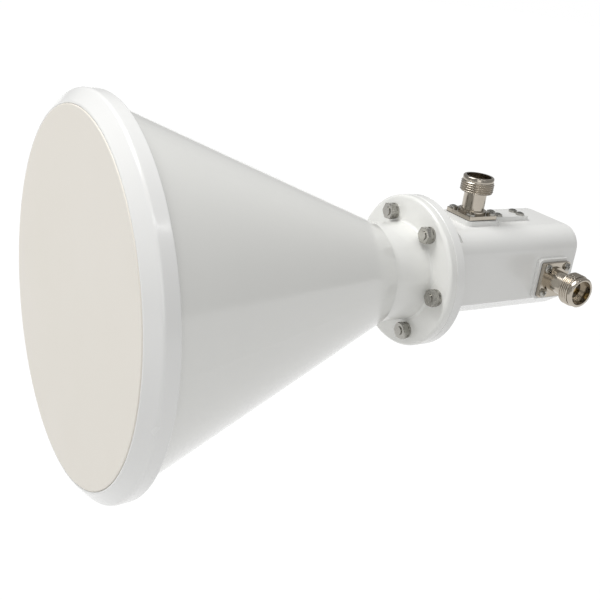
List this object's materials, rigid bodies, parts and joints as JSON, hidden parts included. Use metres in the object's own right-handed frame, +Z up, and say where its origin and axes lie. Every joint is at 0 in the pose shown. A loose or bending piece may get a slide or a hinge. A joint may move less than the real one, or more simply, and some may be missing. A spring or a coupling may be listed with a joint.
{
  "type": "conical horn antenna",
  "caption": "Conical horn antenna with a flat round radome, a flanged round waveguide feed and coaxial ports on its top and side.",
  "frame": {"origin": "on the horn's axis, in the joint between the two bolted flanges", "axes": "+Y along the axis towards the closed rear end, so the horn looks along -Y; +Z up along the top port; +X along the side port"},
  "size_m": [0.1576, 0.2504, 0.1576],
  "materials": {
    "radome_plastic": "smooth warm off-white moulding",
    "ring_paint": "smooth semi-gloss white paint",
    "gasket_rubber": "matte",
    "cone_paint": "smooth semi-gloss white paint",
    "neck_paint": "smooth semi-gloss white paint",
    "body_paint": "smooth semi-gloss white paint",
    "stainless": "plain stainless",
    "plate_paint": "smooth semi-gloss white paint",
    "bare_aluminium": "plain",
    "nickel_plate": "dull nickel plate",
    "white_insulator": "smooth",
    "gilt_brass": "thin gold plate"
  },
  "bodies": {
    "root": {"radome_cap": "radome_plastic", "mouth_ring": "ring_paint", "radome_gasket": "gasket_rubber", "horn_cone": "cone_paint", "neck_flange": "neck_paint", "flange_o_ring": "gasket_rubber", "feed_body": "body_paint", "end_cap": "body_paint", "end_cap_o_ring": "gasket_rubber", "flange_bolts": "stainless", "bolt_washers": "stainless", "flange_nuts": "stainless", "lock_washers": "stainless", "top_port_plate": "plate_paint", "side_port_plate": "plate_paint", "tail_screws": "stainless", "septum_plate": "bare_aluminium", "top_connector": "nickel_plate", "top_insulator": "white_insulator", "top_probe": "gilt_brass", "top_gasket": "gasket_rubber", "top_connector_screws": "stainless", "side_connector": "nickel_plate", "side_insulator": "white_insulator", "side_probe": "gilt_brass", "side_gasket": "gasket_rubber", "side_connector_screws": "stainless"}
  },
  "joints": []
}
